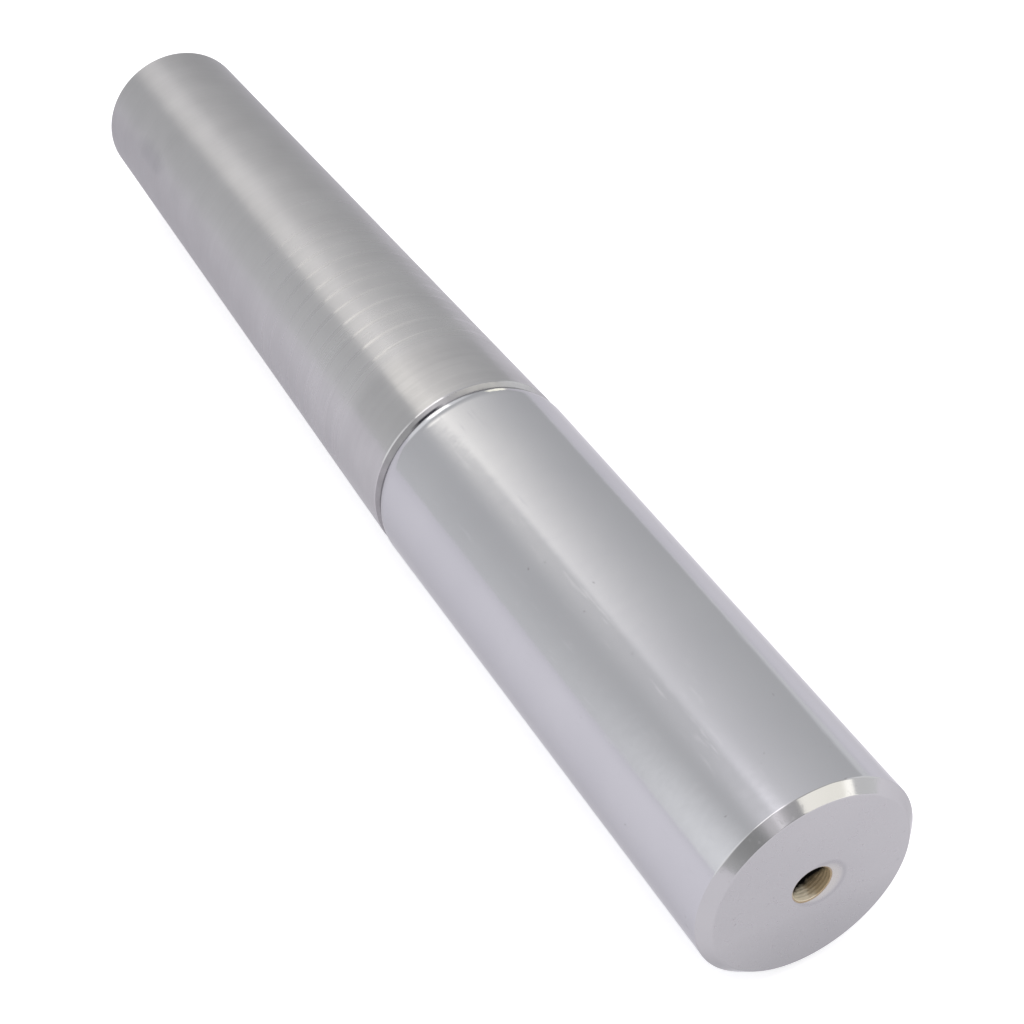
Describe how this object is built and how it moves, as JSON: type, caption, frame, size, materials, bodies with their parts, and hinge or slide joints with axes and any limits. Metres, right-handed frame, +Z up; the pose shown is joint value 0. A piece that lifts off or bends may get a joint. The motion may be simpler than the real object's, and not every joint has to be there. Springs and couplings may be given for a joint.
{
  "type": "ring mandrel",
  "caption": "Solid steel ring mandrel: a satin round taper for forming and sizing rings, set end to end on a polished straight handle with a tapped hole in its butt.",
  "frame": {"origin": "middle of the mandrel's length, on the surface that it lies on, straight below its axis", "axes": "+X along the axis towards the handle's butt, so the small end points to -X; +Z up; the mandrel lies on its side"},
  "size_m": [0.2064, 0.0318, 0.0317],
  "materials": {
    "polished_steel": "polished",
    "satin_steel": "satin"
  },
  "bodies": {
    "root": {"handle": "polished_steel", "taper": "satin_steel"}
  },
  "joints": []
}
